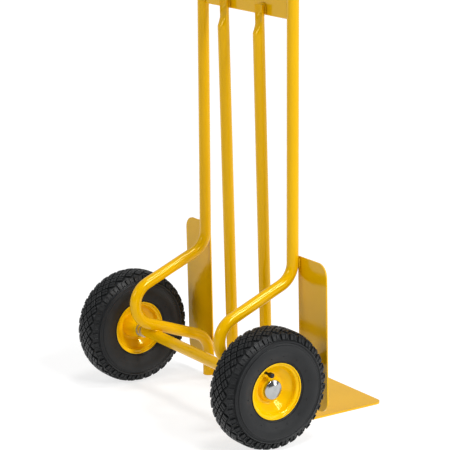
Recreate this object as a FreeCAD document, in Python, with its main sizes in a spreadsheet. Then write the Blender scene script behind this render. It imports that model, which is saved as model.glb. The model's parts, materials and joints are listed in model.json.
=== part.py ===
import FreeCAD, Part
import math
import os

import Sketcher

# Two-wheeled hand truck: bent tube side frames, toe plate, wheel guards and pneumatic wheels.
# Frame: +Z up, +Y forward (the way the toe plate points), +X to the operator's right.
# Origin: on the floor, under the middle of the whole truck.
# Most bodies are built with their own Y measured from the wheel axle.

V = FreeCAD.Vector
Rotation = FreeCAD.Rotation

doc = FreeCAD.newDocument("hand_truck")

# ---------------------------------------------------------------- driving dimensions (mm, degrees)

DIMENSIONS = {
    # whole truck
    "wheel_radius": 130.0,
    "wheel_track": 548.4,
    "toe_reach": 367.2,
    "frame_width": 341.4,
    # side tubes: path corners, ahead of the axle and above the floor
    "tube_radius": 13.0,
    "tube_wall": 2.0,
    "bend_radius": 51.0,
    "stub_ahead": 142.0,
    "stub_clear": 12.0,
    "stub_corner_up": 102.6,
    "loop_corner_back": 141.2,
    "loop_corner_up": 206.4,
    "upright_ahead": 136.5,
    "elbow_up": 323.0,
    "seam_up": 430.0,
    "top_corner_up": 1085.0,
    "handle_length": 190.0,
    "handle_rise": 20.0,
    # centre bars
    "bar_spacing": 134.8,
    "bar_pipe_length": 828.0,
    "bar_press_length": 42.0,
    "bar_lap_length": 18.0,
    "bar_press_depth": 4.0,
    # cross panel
    "panel_foot_up": 877.0,
    "panel_tall": 120.0,
    "panel_ahead": 133.5,
    "panel_gauge": 2.5,
    "panel_lip": 12.0,
    "panel_bend": 4.0,
    "panel_side_gap": 0.1,
    # toe plate
    "toe_width": 392.0,
    "toe_gauge": 4.0,
    "toe_flange_up": 36.0,
    "toe_flange_ahead": 155.1,
    "toe_corner": 18.0,
    "toe_bend": 8.0,
    "toe_flange_corner": 8.0,
    # wheel guards
    "guard_inset": 1.7,
    "guard_width": 100.6,
    "guard_foot_up": 38.0,
    "guard_tall": 331.5,
    "guard_gauge": 3.0,
    "guard_corner": 28.0,
    "guard_ahead": 155.6,
    "guard_lean": 1.04,
    # axle line
    "axle_radius": 10.0,
    "axle_fit": 0.1,
    "axle_past_hub": 5.0,
    "saddle_fit": 0.1,
    "axle_tube_length": 434.0,
    "washer_gauge": 1.5,
    "washer_radius": 16.0,
    "spacer_radius": 14.0,
    "end_washer_radius": 17.0,
    "end_play": 0.3,
    # hub: lengths are from the wheel's middle plane, inboard and outboard
    "hub_in": 43.0,
    "hub_out": 14.0,
    "sleeve_radius": 16.5,
    "sleeve_bore": 14.02,
    "roller_radius": 1.98,
    "roller_length": 45.0,
    "roller_count": 10.0,
    "cage_bore": 10.8,
    "cage_radius": 13.3,
    "cage_length": 52.0,
    "roller_end_gap": 0.3,
    "roller_pocket_fit": 0.12,
    "cap_radius": 21.2,
    "cap_gauge": 1.0,
    "cap_dome": 4.1,
    "cap_skirt_out": 2.6,
    "cap_shoulder_out": 5.5,
    "cap_edge_round": 2.0,
    "cap_crown_share": 0.42,
    "cap_crown_round": 38.0,
    "cap_collar_out": 2.1,
    "cap_collar_length": 6.0,
    "cap_collar_gauge": 1.2,
    "cap_collar_fit": 0.05,
    # pressed steel rim halves: their tyre side, measured from the wheel's middle plane
    "rim_gauge": 2.0,
    "lip_out": 32.6,
    "lip_radius": 61.4,
    "flange_out": 26.7,
    "seat_radius": 54.5,
    "seat_in": 14.5,
    "web_out": 0.1,
    "bowl_radius": 34.0,
    "boss_radius": 26.5,
    "boss_nose_radius": 22.3,
    "lip_round": 3.4,
    "seat_round": 3.4,
    "seat_taper": 0.6,
    "well_round": 12.0,
    "web_round": 9.0,
    "boss_root_round": 4.0,
    "boss_nose_round": 2.0,
    "boss_back": 0.6,
    "boss_fit": 0.1,
    "cone_start": 10.0,
    "cone_drop": 1.5,
    "cone_round": 20.0,
    "cone_end_gap": 1.5,
    "cone_fit": 0.2,
    "valve_hole_fit": 0.3,
    # tyre, rim band and inner tube
    "tread_half": 16.0,
    "shoulder_half": 31.0,
    "shoulder_drop": 3.8,
    "bulge_half": 45.5,
    "bulge_radius": 94.0,
    "bead_half": 19.5,
    "bead_radius": 54.7,
    "tread_depth": 10.5,
    "side_gauge": 6.0,
    "tread_round": 40.0,
    "shoulder_round": 6.0,
    "bulge_round": 36.0,
    "lip_side_gap": 0.6,
    "lip_gap": 0.4,
    "flange_gap": 0.2,
    "lip_edge_round": 1.0,
    "lip_groove_round": 3.0,
    "bead_round": 3.5,
    "bead_slope": 1.2,
    "side_drop": 2.0,
    "side_round": 30.0,
    "crown_inset": 3.5,
    "crown_round": 10.0,
    "band_gauge": 1.2,
    "tube_gap": 0.5,
    "tube_gauge": 1.6,
    "band_inset": 0.5,
    "band_hole_fit": 0.4,
    "tube_floor_round": 2.0,
    "tube_side_round": 28.0,
    "tube_crown_round": 8.0,
    # valve
    "valve_angle": 107.0,
    "valve_radius": 38.1,
    "valve_stem_radius": 2.9,
    "valve_bend": 4.5,
    "valve_out": 28.5,
    "valve_cap_radius": 5.2,
    "valve_cap_length": 12.0,
    "valve_cap_grip": 7.0,
    "valve_cap_fit": 0.1,
    "valve_cap_edge": 0.8,
    "valve_cap_round": 2.5,
    "valve_tip_gap": 0.2,
    # hand grips
    "grip_length": 125.0,
    "grip_radius": 17.0,
    "grip_collar": 21.0,
    "grip_fit": 0.1,
    "grip_end": 4.0,
    "grip_end_gap": 0.2,
    "grip_collar_length": 5.0,
    "grip_collar_slope": 2.0,
    "grip_collar_round": 1.5,
    "grip_neck_round": 1.0,
    "grip_nose_round": 6.0,
}

sheet = doc.addObject("Spreadsheet::Sheet", "Sheet")
for row, (alias, number) in enumerate(DIMENSIONS.items(), start=1):
    sheet.set("A%d" % row, alias)
    sheet.set("B%d" % row, str(number))
    sheet.setAlias("B%d" % row, alias)
doc.recompute()

AXLE_Y = "(Sheet.wheel_radius - Sheet.toe_reach) / 2"


def value(expression):
    """The number that an expression on the sheet's cells gives now."""
    if isinstance(expression, (int, float)):
        return float(expression)
    return float(sheet.evalExpression(expression))


# ---------------------------------------------------------------- sketch helpers

def origin_plane(body, role):
    for feature in body.Origin.OriginFeatures:
        if feature.Role == role:
            return feature
    raise ValueError("no origin plane " + role)


class Draft:
    """A sketch on one of a body's origin planes, with every dimension tied to the sheet.

    Constraints are collected and added together, so the sketch is solved once.
    """

    def __init__(self, body, name, role, offset=None):
        self.sketch = body.newObject("Sketcher::SketchObject", name)
        self.sketch.AttachmentSupport = [(origin_plane(body, role), "")]
        self.sketch.MapMode = "FlatFace"
        if offset is not None:
            self.sketch.setExpression(".AttachmentOffset.Base.z", str(offset))
        self.constraints = []
        self.formulas = []

    def draw(self, geometry, construction=False):
        return self.sketch.addGeometry(geometry, construction)

    def shape(self, index):
        return self.sketch.Geometry[index]

    def tie(self, kind, *where):
        """A geometric constraint between vertices or edges."""
        self.constraints.append(Sketcher.Constraint(kind, *where))
        self.formulas.append(None)

    def size(self, kind, formula, *where):
        """A dimension given by an expression on the sheet."""
        self.constraints.append(Sketcher.Constraint(kind, *where, value(formula)))
        self.formulas.append(str(formula))

    def pin(self, index, vertex, across, along):
        """Fix a vertex at sheet-driven coordinates."""
        self.size("DistanceX", across, -1, 1, index, vertex)
        self.size("DistanceY", along, -1, 1, index, vertex)

    def done(self):
        first = self.sketch.ConstraintCount
        self.sketch.addConstraint(self.constraints)
        for index, formula in enumerate(self.formulas, start=first):
            if formula is not None:
                self.sketch.setExpression("Constraints[%d]" % index, formula)
        return self.sketch


def circles(body, name, role, offset, rounds):
    """A sketch of full circles, each (across, along, radius)."""
    draft = Draft(body, name, role, offset)
    for across, along, radius in rounds:
        centre = V(value(across), value(along), 0)
        index = draft.draw(Part.Circle(centre, V(0, 0, 1), value(radius)))
        draft.pin(index, 3, across, along)
        draft.size("Radius", radius, index)
    return draft.done()


def arc_between(centre, start, end):
    """The counter-clockwise arc round centre from start to end, in the sketch's plane."""
    first = math.atan2(start.y - centre.y, start.x - centre.x)
    last = math.atan2(end.y - centre.y, end.x - centre.x)
    if last < first:
        last += 2 * math.pi
    return Part.ArcOfCircle(Part.Circle(centre, V(0, 0, 1), (start - centre).Length), first, last)


class Bend:
    """A corner of a path and the tangent arc that rounds it."""

    def __init__(self, point, before, after, radius):
        self.enter = self.leave = point
        self.arc = None
        self.radius = radius
        if not radius:
            return
        back = (before - point).normalize()
        ahead = (after - point).normalize()
        half = back.getAngle(ahead) / 2
        run = radius / math.tan(half)
        inward = (back + ahead).normalize()
        self.centre = point + inward * (radius / math.sin(half))
        self.enter = point + back * run
        self.leave = point + ahead * run
        self.left_turn = back.cross(ahead).z < 0
        self.arc = self.arc_at(radius)

    def arc_at(self, radius):
        """An arc of another radius round the same centre, always counter-clockwise."""
        enter, leave = [self.centre + (point - self.centre).normalize() * radius
                        for point in (self.enter, self.leave)]
        if self.left_turn:
            return arc_between(self.centre, enter, leave)
        return arc_between(self.centre, leave, enter)

    def ends(self):
        """The arc's vertex numbers where the path enters it and leaves it."""
        return (1, 2) if self.left_turn else (2, 1)


def bends_of(corners, closed):
    points = [V(value(across), value(along), 0) for across, along, radius in corners]
    count = len(points)
    bends = []
    for index, (across, along, radius) in enumerate(corners):
        at_end = not closed and index in (0, count - 1)
        size = 0 if at_end or radius is None else value(radius)
        bends.append(Bend(points[index], points[index - 1], points[(index + 1) % count], size))
    return points, bends


def add_path(draft, corners, closed=False):
    """Straight runs between sheet-driven corners, each rounded by a tangent arc.

    A corner is (across, along, bend radius or None).  Returns the lines, the arcs and the bends.
    """
    points, bends = bends_of(corners, closed)
    count = len(points)
    runs = count if closed else count - 1
    lines = []
    for index in range(runs):
        line = Part.LineSegment(bends[index].leave, bends[(index + 1) % count].enter)
        lines.append(draft.draw(line))
    arcs = []
    for index, bend in enumerate(bends):
        across, along, radius = corners[index]
        before = lines[index - 1] if closed or index > 0 else None
        after = lines[index] if index < runs else None
        if bend.arc is None:
            arcs.append(None)
            if before is not None and after is not None:
                draft.tie("Coincident", before, 2, after, 1)
            line, vertex = (after, 1) if after is not None else (before, 2)
            draft.pin(line, vertex, across, along)
            continue
        arc = draft.draw(bend.arc)
        arcs.append(arc)
        first, last = bend.ends()
        draft.tie("Tangent", before, 2, arc, first)
        draft.tie("Tangent", arc, last, after, 1)
        draft.size("Radius", radius, arc)
        corner = draft.draw(Part.Point(points[index]), True)
        draft.tie("PointOnObject", corner, 1, before)
        draft.tie("PointOnObject", corner, 1, after)
        draft.pin(corner, 1, across, along)
    return lines, arcs, bends


def path_sketch(body, name, role, corners, closed=False):
    draft = Draft(body, name, role)
    add_path(draft, corners, closed)
    return draft.done()


def strip_sketch(body, name, role, corners, gauge, side):
    """Section of sheet metal: a rounded path and a parallel one, a gauge to its left (1) or right (-1)."""
    draft = Draft(body, name, role)
    lines, arcs, bends = add_path(draft, corners)
    shift = value(gauge) * side
    twins = []
    for line in lines:
        segment = draft.shape(line)
        along = (segment.EndPoint - segment.StartPoint).normalize()
        move = V(-along.y, along.x, 0) * shift
        twins.append(draft.draw(Part.LineSegment(segment.StartPoint + move, segment.EndPoint + move)))
    for index, bend in enumerate(bends):
        if bend.arc is None:
            continue
        sign = -side if bend.left_turn else side
        radius = bend.radius + sign * value(gauge)
        twin_arc = draft.draw(bend.arc_at(radius))
        first, last = bend.ends()
        draft.tie("Tangent", twins[index - 1], 2, twin_arc, first)
        draft.tie("Tangent", twin_arc, last, twins[index], 1)
        draft.tie("Coincident", arcs[index], 3, twin_arc, 3)
        formula = "%s %s %s" % (corners[index][2], "-" if sign < 0 else "+", gauge)
        draft.size("Radius", formula, twin_arc)
    for index, vertex in ((0, 1), (-1, 2)):
        ends = []
        for strip in (lines, twins):
            segment = draft.shape(strip[index])
            ends.append(segment.StartPoint if vertex == 1 else segment.EndPoint)
        closing = draft.draw(Part.LineSegment(*ends))
        draft.tie("Coincident", closing, 1, lines[index], vertex)
        draft.tie("Coincident", closing, 2, twins[index], vertex)
        draft.tie("Perpendicular", closing, lines[index])
        draft.tie("Parallel", lines[index], twins[index])
    return draft.done()


# ---------------------------------------------------------------- body helpers

NEAR = 0.1  # mm or mm3: sizes below this count as nothing
NODES = []


def node(body, name):
    body.Label = name
    NODES.append(body)
    return body


def new_body(name):
    return node(doc.addObject("PartDesign::Body", name), name)


def place(body, across, ahead, up, rotation=None):
    """Put a body at sheet-driven coordinates; ahead is measured from the wheel axle."""
    if rotation is not None:
        body.Placement = FreeCAD.Placement(V(0, 0, 0), rotation)
    body.setExpression(".Placement.Base.x", str(across))
    body.setExpression(".Placement.Base.y", "%s + (%s)" % (AXLE_Y, ahead))
    body.setExpression(".Placement.Base.z", str(up))


def pad(body, name, sketch, length, midplane=False, reverse=False):
    feature = body.newObject("PartDesign::Pad", name)
    feature.Profile = sketch
    feature.setExpression("Length", str(length))
    feature.SideType = "Symmetric" if midplane else "One side"
    feature.Reversed = reverse
    return feature


def cut_through(body, name, sketch, length, reverse=False, midplane=False):
    """A pocket that must take material away."""
    doc.recompute()
    before = body.Shape.Volume
    feature = body.newObject("PartDesign::Pocket", name)
    feature.Profile = sketch
    feature.setExpression("Length", str(length))
    feature.SideType = "Symmetric" if midplane else "One side"
    feature.Reversed = reverse
    doc.recompute()
    if body.Shape.Volume > before - NEAR:
        raise RuntimeError(name + " cuts nothing")
    return feature


def revolve(body, name, sketch, kind="PartDesign::Revolution"):
    """Turn a sketch on the XY plane round the body's X axis."""
    feature = body.newObject(kind, name)
    feature.Profile = sketch
    feature.ReferenceAxis = (sketch, ["H_Axis"])
    feature.Angle = 360.0
    return feature


def round_edges(body, name, base, radius, chosen):
    """Fillet the edges of the last feature that the test picks out."""
    doc.recompute()
    names = ["Edge%d" % (index + 1) for index, edge in enumerate(base.Shape.Edges) if chosen(edge)]
    feature = body.newObject("PartDesign::Fillet", name)
    feature.Base = (base, names)
    feature.setExpression("Radius", str(radius))
    return feature


def ring(name, bore, radius, start, length):
    """A plain ring round the body's X axis, from start to start plus length."""
    body = new_body(name)
    section = circles(body, name + "_section", "YZ_Plane", start, [(0, 0, radius), (0, 0, bore)])
    pad(body, name + "_pad", section, length)
    return body


SIDES = {"left": -1, "right": 1}


def outboard(side):
    """Turns a body built with +X outboard to face its own side."""
    return Rotation(V(0, 0, 1), 0 if side > 0 else 180)


# ---------------------------------------------------------------- frame

def bent_tube(name, side, corners):
    """A round tube along a path in the YZ plane that starts straight up."""
    body = new_body(name)
    ahead, up, _ = corners[0]
    path = path_sketch(body, name + "_path", "YZ_Plane", corners)
    section = circles(body, name + "_section", "XY_Plane", up, [
        (0, ahead, "Sheet.tube_radius"),
        (0, ahead, "Sheet.tube_radius - Sheet.tube_wall"),
    ])
    pipe = body.newObject("PartDesign::AdditivePipe", name + "_pipe")
    pipe.Profile = section
    pipe.Spine = path
    place(body, "%d * Sheet.frame_width / 2" % side, 0, 0)


def side_tubes(side_name, side):
    """Lower tube: toe stub, run over the axle, loop and slanting run. Upper tube: upright and handle."""
    bend = "Sheet.bend_radius"
    seam = ("Sheet.upright_ahead", "Sheet.seam_up", None)
    bent_tube("frame_tube_" + side_name, side, [
        ("Sheet.stub_ahead", "Sheet.stub_clear", None),
        ("Sheet.stub_ahead", "Sheet.stub_corner_up", bend),
        ("-Sheet.loop_corner_back", "Sheet.loop_corner_up", bend),
        ("Sheet.upright_ahead", "Sheet.elbow_up", bend),
        seam,
    ])
    bent_tube("handle_tube_" + side_name, side, [
        seam,
        ("Sheet.upright_ahead", "Sheet.top_corner_up", bend),
        ("Sheet.upright_ahead - Sheet.handle_length * cos(Sheet.handle_rise * 1deg)",
         "Sheet.top_corner_up + Sheet.handle_length * sin(Sheet.handle_rise * 1deg)", None),
    ])


def pressed_section(body, name, up, back):
    """The front half of a tube's outline, closed by an arc that passes through (0, back)."""
    draft = Draft(body, name, "XY_Plane", up)
    radius = value("Sheet.tube_radius")
    left, right = V(-radius, 0, 0), V(radius, 0, 0)
    dented = value(back) > 0
    back_centre = "(({0})^2 - Sheet.tube_radius^2) / (2 * ({0}))".format(back)
    front = draft.draw(arc_between(V(0, 0, 0), right, left))
    ends = (right, left) if dented else (left, right)
    rear = draft.draw(arc_between(V(0, value(back_centre), 0), *ends))
    for index, first, last in ((front, 2, 1), (rear, 2 if dented else 1, 1 if dented else 2)):
        draft.pin(index, first, "-Sheet.tube_radius", 0)
        draft.pin(index, last, "Sheet.tube_radius", 0)
    draft.size("DistanceY", 0, -1, 1, front, 3)
    draft.size("DistanceY", back_centre, -1, 1, rear, 3)
    return draft.done()


def centre_bar(name, side):
    """A leaning tube whose upper end is pressed into a dished tongue that laps the cross panel."""
    body = new_body(name)
    section = circles(body, name + "_section", "XY_Plane", None, [
        (0, 0, "Sheet.tube_radius"),
        (0, 0, "Sheet.tube_radius - Sheet.tube_wall"),
    ])
    pad(body, name + "_pipe", section, "Sheet.bar_pipe_length")

    start = "Sheet.bar_pipe_length"
    end = "Sheet.bar_pipe_length + Sheet.bar_press_length"
    dent = "Sheet.tube_radius - Sheet.bar_press_depth"
    press = body.newObject("PartDesign::AdditiveLoft", name + "_press")
    press.Profile = pressed_section(body, name + "_round", start, "-Sheet.tube_radius")
    press.Sections = [pressed_section(body, name + "_tongue", end, dent)]
    pad(body, name + "_lap", pressed_section(body, name + "_lap_section", end, dent),
        "Sheet.bar_lap_length")

    reach = value("Sheet.bar_pipe_length + Sheet.bar_press_length")
    back = value("Sheet.stub_ahead + Sheet.tube_radius - Sheet.panel_ahead")
    lean = math.degrees(math.asin(back / reach))
    place(body, "%d * Sheet.bar_spacing / 2" % side, "Sheet.stub_ahead", "Sheet.stub_clear",
          Rotation(V(1, 0, 0), lean))


def cross_panel():
    """Sheet channel between the uprights, its lips turned forward."""
    body = new_body("cross_panel")
    lip = "Sheet.panel_ahead + Sheet.panel_lip"
    top = "Sheet.panel_foot_up + Sheet.panel_tall"
    section = strip_sketch(body, "cross_panel_section", "YZ_Plane", [
        (lip, "Sheet.panel_foot_up", None),
        ("Sheet.panel_ahead", "Sheet.panel_foot_up", "Sheet.panel_bend"),
        ("Sheet.panel_ahead", top, "Sheet.panel_bend"),
        (lip, top, None),
    ], "Sheet.panel_gauge", -1)
    inside = "Sheet.frame_width - 2 * Sheet.tube_radius - 2 * Sheet.panel_side_gap"
    pad(body, "cross_panel_pad", section, inside, midplane=True)
    place(body, 0, 0, 0)


def toe_plate():
    """Nose plate: flat on the floor, its rear edge turned up against the tube ends."""
    body = new_body("toe_plate")
    section = strip_sketch(body, "toe_plate_section", "YZ_Plane", [
        ("Sheet.toe_reach", 0, None),
        ("Sheet.toe_flange_ahead", 0, "Sheet.toe_bend"),
        ("Sheet.toe_flange_ahead", "Sheet.toe_flange_up", None),
    ], "Sheet.toe_gauge", -1)
    plate = pad(body, "toe_plate_pad", section, "Sheet.toe_width", midplane=True)
    front = value("Sheet.toe_reach")

    def front_corner(edge):
        box = edge.BoundBox
        return box.YMin > front - NEAR and box.ZLength > NEAR and box.XLength < NEAR

    rounded = round_edges(body, "toe_plate_corners", plate, "Sheet.toe_corner", front_corner)
    top = value("Sheet.toe_flange_up")

    def flange_corner(edge):
        box = edge.BoundBox
        return box.ZMin > top - NEAR and box.YLength > NEAR and box.XLength < NEAR

    round_edges(body, "toe_plate_flange_corners", rounded, "Sheet.toe_flange_corner", flange_corner)
    place(body, 0, 0, 0)


def wheel_guard(name, side):
    """Flat plate in front of the wheel, welded along the front of the side tube."""
    body = new_body(name)
    inner = "%d * Sheet.guard_inset" % side
    outer = "%d * (Sheet.guard_inset + Sheet.guard_width)" % side
    outline = path_sketch(body, name + "_outline", "XZ_Plane", [
        (inner, 0, None),
        (outer, 0, "Sheet.guard_corner"),
        (outer, "Sheet.guard_tall", "Sheet.guard_corner"),
        (inner, "Sheet.guard_tall", None),
    ], closed=True)
    pad(body, name + "_pad", outline, "Sheet.guard_gauge", reverse=True)
    place(body, "%d * Sheet.frame_width / 2" % side, "Sheet.guard_ahead", "Sheet.guard_foot_up",
          Rotation(V(1, 0, 0), value("Sheet.guard_lean")))


def axle_tube():
    """Tube across both loops, saddle-cut where the side tubes sit on it."""
    body = new_body("axle_tube")
    section = circles(body, "axle_tube_section", "YZ_Plane", None, [
        (0, 0, "Sheet.tube_radius"),
        (0, 0, "Sheet.axle_radius + Sheet.axle_fit"),
    ])
    pad(body, "axle_tube_pad", section, "Sheet.axle_tube_length", midplane=True)

    rise = "(Sheet.loop_corner_up - Sheet.stub_corner_up)"
    run = "(Sheet.loop_corner_back + Sheet.stub_ahead)"
    span = "sqrt(%s^2 + %s^2)" % (rise, run)
    clear = "(%s * Sheet.stub_ahead + %s * (Sheet.stub_corner_up - Sheet.wheel_radius)) / %s" % (
        rise, run, span)
    slope = math.degrees(math.atan2(value(rise), value(run)))
    saddles = circles(body, "axle_tube_saddles", "XZ_Plane", None, [
        ("%d * Sheet.frame_width / 2" % side, clear, "Sheet.tube_radius + Sheet.saddle_fit")
        for side in SIDES.values()])
    saddles.AttachmentOffset = FreeCAD.Placement(V(0, 0, 0), Rotation(V(1, 0, 0), -slope))
    cut_through(body, "axle_tube_saddle_cuts", saddles, "4 * Sheet.tube_radius", midplane=True)
    place(body, 0, 0, "Sheet.wheel_radius")


def axle_rod():
    body = new_body("axle_rod")
    section = circles(body, "axle_rod_section", "YZ_Plane", None, [(0, 0, "Sheet.axle_radius")])
    length = "Sheet.wheel_track + 2 * (Sheet.hub_out + Sheet.axle_past_hub)"
    pad(body, "axle_rod_pad", section, length, midplane=True)
    place(body, 0, 0, "Sheet.wheel_radius")


def hand_grip(name, side):
    """Soft sleeve with a thumb collar and a closed, rounded end."""
    body = new_body(name)
    bore = "Sheet.tube_radius + Sheet.grip_fit"
    inner_end = "Sheet.grip_length - Sheet.grip_end"
    neck = "Sheet.grip_collar_length + Sheet.grip_collar_slope"
    profile = path_sketch(body, name + "_profile", "XY_Plane", [
        (0, bore, None),
        (0, "Sheet.grip_collar", "Sheet.grip_collar_round"),
        ("Sheet.grip_collar_length", "Sheet.grip_collar", "Sheet.grip_collar_round"),
        (neck, "Sheet.grip_radius", "Sheet.grip_neck_round"),
        ("Sheet.grip_length", "Sheet.grip_radius", "Sheet.grip_nose_round"),
        ("Sheet.grip_length", 0, None),
        (inner_end, 0, None),
        (inner_end, bore, None),
    ], closed=True)
    revolve(body, name + "_turn", profile)
    rise = math.radians(value("Sheet.handle_rise"))
    start = "(Sheet.handle_length - Sheet.grip_length + Sheet.grip_end + Sheet.grip_end_gap)"
    place(body, "%d * Sheet.frame_width / 2" % side,
          "Sheet.upright_ahead - %s * cos(Sheet.handle_rise * 1deg)" % start,
          "Sheet.top_corner_up + %s * sin(Sheet.handle_rise * 1deg)" % start,
          Rotation(V(1, 0, 0), V(0, -math.cos(rise), math.sin(rise))))


# ---------------------------------------------------------------- wheels (own +X outboard)

def place_on_axle(body, side, spin=0.0):
    """Put a wheel-side body at its wheel's middle plane.

    Spin turns the body's +Y from straight ahead towards straight up, in degrees, on either side.
    """
    turn = outboard(side).multiply(Rotation(V(1, 0, 0), spin if side > 0 else 180 - spin))
    place(body, "%d * Sheet.wheel_track / 2" % side, 0, "Sheet.wheel_radius", turn)


def mirrored(corners):
    """Corners on the outboard side followed by their inboard twins, as one closed outline."""
    twins = [("-(%s)" % across, along, radius) for across, along, radius in reversed(corners)]
    return corners + twins


# inside of the tyre, which the inner tube follows
BEAD_TOP = "Sheet.bead_half + Sheet.bead_slope"
SIDE_WALL = "Sheet.bulge_half - Sheet.side_gauge"
SIDE_WALL_RADIUS = "Sheet.bulge_radius - Sheet.side_drop"
CROWN_HALF = "Sheet.shoulder_half - Sheet.crown_inset"


def tyre(name, side, spin):
    """Tyre carcass: tread, bulged sidewalls and beads, open towards the rim."""
    body = new_body(name)
    flange_face = "Sheet.flange_out - Sheet.flange_gap"
    over_lip = "Sheet.lip_radius + Sheet.lip_gap"
    profile = path_sketch(body, name + "_profile", "XY_Plane", mirrored([
        ("Sheet.tread_half", "Sheet.wheel_radius", "Sheet.tread_round"),
        ("Sheet.shoulder_half", "Sheet.wheel_radius - Sheet.shoulder_drop", "Sheet.shoulder_round"),
        ("Sheet.bulge_half", "Sheet.bulge_radius", "Sheet.bulge_round"),
        ("Sheet.lip_out + Sheet.lip_side_gap", over_lip, "Sheet.lip_edge_round"),
        (flange_face, over_lip, "Sheet.lip_groove_round"),
        (flange_face, "Sheet.bead_radius", "Sheet.bead_round"),
        ("Sheet.bead_half", "Sheet.bead_radius", None),
        (BEAD_TOP, "Sheet.lip_radius", "Sheet.bead_round"),
        (SIDE_WALL, SIDE_WALL_RADIUS, "Sheet.side_round"),
        (CROWN_HALF, "Sheet.wheel_radius - Sheet.tread_depth", "Sheet.crown_round"),
    ]), closed=True)
    revolve(body, name + "_turn", profile)
    place_on_axle(body, side, spin)


def inner_tube(name, side, spin):
    """Air-filled tube that follows the inside of the tyre."""
    body = new_body(name)

    def outline(shrink):
        floor = "Sheet.bead_radius + Sheet.band_gauge + Sheet.tube_gap + %s" % shrink
        inset = "(Sheet.tube_gap + %s)" % shrink
        return mirrored([
            ("Sheet.bead_half - %s" % inset, floor, "Sheet.tube_floor_round"),
            ("%s - %s" % (BEAD_TOP, inset), "Sheet.lip_radius", "Sheet.bead_round"),
            ("%s - %s" % (SIDE_WALL, inset), SIDE_WALL_RADIUS, "Sheet.tube_side_round"),
            ("%s - %s" % (CROWN_HALF, inset),
             "Sheet.wheel_radius - Sheet.tread_depth - Sheet.tube_gap - %s" % shrink,
             "Sheet.tube_crown_round"),
        ])

    outside = path_sketch(body, name + "_outside", "XY_Plane", outline("0"), closed=True)
    revolve(body, name + "_turn", outside)
    inside = path_sketch(body, name + "_inside", "XY_Plane", outline("Sheet.tube_gauge"), closed=True)
    revolve(body, name + "_air", inside, "PartDesign::Groove")
    place_on_axle(body, side, spin)


def rim_band(name, side, spin):
    """Rubber strip over the rim's well, pierced for the valve stem."""
    body = new_body(name)
    half = "(Sheet.bead_half - Sheet.band_inset)"
    top = "Sheet.bead_radius + Sheet.band_gauge"
    profile = path_sketch(body, name + "_profile", "XY_Plane", [
        (half, "Sheet.bead_radius", None),
        (half, top, None),
        ("-" + half, top, None),
        ("-" + half, "Sheet.bead_radius", None),
    ], closed=True)
    revolve(body, name + "_turn", profile)
    hole = circles(body, name + "_valve_hole", "XZ_Plane", None,
                   [(0, 0, "Sheet.valve_stem_radius + Sheet.band_hole_fit")])
    cut_through(body, name + "_valve_cut", hole, "Sheet.wheel_radius")
    place_on_axle(body, side, spin)


def rim_half(name, side, spin, facing, boss):
    """Pressed half of the rim: lip, flange, bead seat, bowl, and a boss welded to the hub sleeve."""
    body = new_body(name)

    def out(expression):
        return expression if facing > 0 else "-(%s)" % expression

    path = [
        (out("Sheet.lip_out"), "Sheet.lip_radius", None),
        (out("Sheet.flange_out"), "Sheet.lip_radius", "Sheet.lip_round"),
        (out("Sheet.flange_out"), "Sheet.seat_radius", "Sheet.seat_round"),
        (out("Sheet.seat_in"), "Sheet.seat_radius - Sheet.seat_taper", "Sheet.well_round"),
        (out("Sheet.web_out"), "Sheet.bowl_radius", "Sheet.web_round"),
        (out("Sheet.web_out"), "Sheet.boss_radius", "Sheet.boss_root_round"),
    ] + [(out(across), along, radius) for across, along, radius in boss]
    profile = strip_sketch(body, name + "_profile", "XY_Plane", path, "Sheet.rim_gauge", facing)
    revolve(body, name + "_turn", profile)
    if facing > 0:
        hole = circles(body, name + "_valve_hole", "YZ_Plane", None,
                       [("Sheet.valve_radius", 0, "Sheet.valve_stem_radius + Sheet.valve_hole_fit")])
        cut_through(body, name + "_valve_cut", hole, "Sheet.lip_out", reverse=True)
    place_on_axle(body, side, spin)


def hub_sleeve(name, side, spin):
    body = ring(name, "Sheet.sleeve_bore", "Sheet.sleeve_radius", "-Sheet.hub_in",
                "Sheet.hub_in + Sheet.hub_out")
    place_on_axle(body, side, spin)


def valve_stem(name, side, spin):
    """Bent rubber stem: inward from the tube, then straight out of the bowl."""
    body = new_body(name)
    root = "Sheet.bead_radius + Sheet.band_gauge"
    path = path_sketch(body, name + "_path", "XY_Plane", [
        (0, root, None),
        (0, "Sheet.valve_radius", "Sheet.valve_bend"),
        ("Sheet.valve_out", "Sheet.valve_radius", None),
    ])
    section = circles(body, name + "_section", "XZ_Plane", "-(%s)" % root,
                      [(0, 0, "Sheet.valve_stem_radius")])
    pipe = body.newObject("PartDesign::AdditivePipe", name + "_pipe")
    pipe.Profile = section
    pipe.Spine = path
    place_on_axle(body, side, spin)


def valve_cap(name, side, spin):
    """Screw cap: a cup over the end of the stem."""
    body = new_body(name)
    bore = "Sheet.valve_stem_radius + Sheet.valve_cap_fit"
    inner_end = "Sheet.valve_out + Sheet.valve_tip_gap"
    mouth = "Sheet.valve_out - Sheet.valve_cap_grip"
    outer_end = mouth + " + Sheet.valve_cap_length"
    profile = path_sketch(body, name + "_profile", "XY_Plane", [
        (mouth, bore, None),
        (mouth, "Sheet.valve_cap_radius", "Sheet.valve_cap_edge"),
        (outer_end, "Sheet.valve_cap_radius", "Sheet.valve_cap_round"),
        (outer_end, 0, None),
        (inner_end, 0, None),
        (inner_end, bore, None),
    ], closed=True)
    revolve(body, name + "_turn", profile)
    place_on_axle(body, side, spin)
    body.setExpression(".Placement.Base.y",
                       AXLE_Y + " + Sheet.valve_radius * cos(Sheet.valve_angle * 1deg)")
    body.setExpression(".Placement.Base.z",
                       "Sheet.wheel_radius + Sheet.valve_radius * sin(Sheet.valve_angle * 1deg)")


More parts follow.
